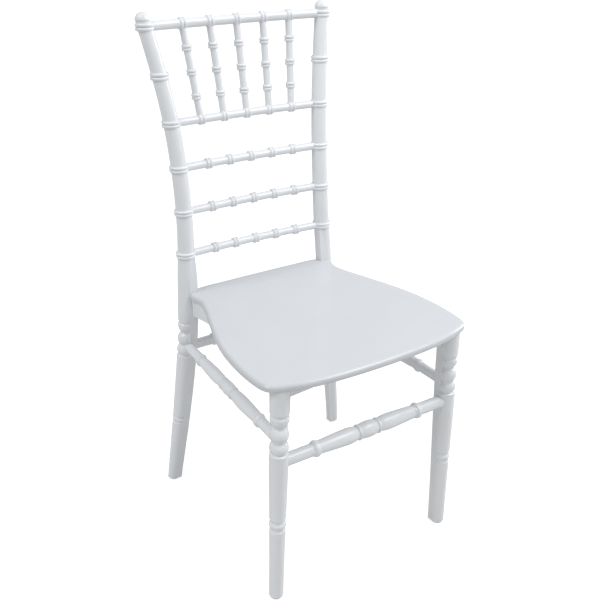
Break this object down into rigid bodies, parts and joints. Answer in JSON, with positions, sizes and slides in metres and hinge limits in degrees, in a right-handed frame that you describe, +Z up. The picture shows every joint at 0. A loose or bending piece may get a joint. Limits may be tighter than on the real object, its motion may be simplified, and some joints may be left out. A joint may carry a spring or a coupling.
{
  "type": "dining chair",
  "caption": "Armless chiavari style banquet chair with turned legs, a ladder-and-spindle back with ring bands, dome finials and a smooth solid seat",
  "frame": {"origin": "on the floor, at the bottom centre of the chair's bounding box", "axes": "+Z up; the front edge of the seat faces -Y; +X is the right-hand side of the picture; the two halves of the chair mirror each other across X = 0"},
  "size_m": [0.4278, 0.465, 0.9164],
  "materials": {
    "resin_frame": "glossy white moulded resin",
    "resin_seat": "smooth white moulded resin, slightly cooler than the frame",
    "dowel_plastic": "plain white",
    "glide_plastic": "matt white plastic",
    "zinc_steel": "zinc plated steel"
  },
  "bodies": {
    "root": {"apron_dowels": "dowel_plastic", "back_rung_lower": "resin_frame", "back_rung_middle": "resin_frame", "back_rung_upper": "resin_frame", "corner_block_front_left": "resin_frame", "corner_block_front_right": "resin_frame", "corner_block_rear_left": "resin_frame", "corner_block_rear_right": "resin_frame", "crest_rail": "resin_frame", "foot_glides": "glide_plastic", "front_apron": "resin_frame", "front_leg_left": "resin_frame", "front_leg_right": "resin_frame", "front_stretcher": "resin_frame", "leg_bolt_nuts": "zinc_steel", "leg_bolts": "zinc_steel", "rear_apron": "resin_frame", "rear_post_left": "resin_frame", "rear_post_right": "resin_frame", "rear_stretcher": "resin_frame", "seat_panel": "resin_seat", "seat_screws": "zinc_steel", "side_apron_left": "resin_frame", "side_apron_right": "resin_frame", "side_stretcher_left": "resin_frame", "side_stretcher_right": "resin_frame", "spindle_1": "resin_frame", "spindle_2": "resin_frame", "spindle_3": "resin_frame", "spindle_4": "resin_frame", "spindle_5": "resin_frame", "spindle_rail": "resin_frame"}
  },
  "joints": []
}
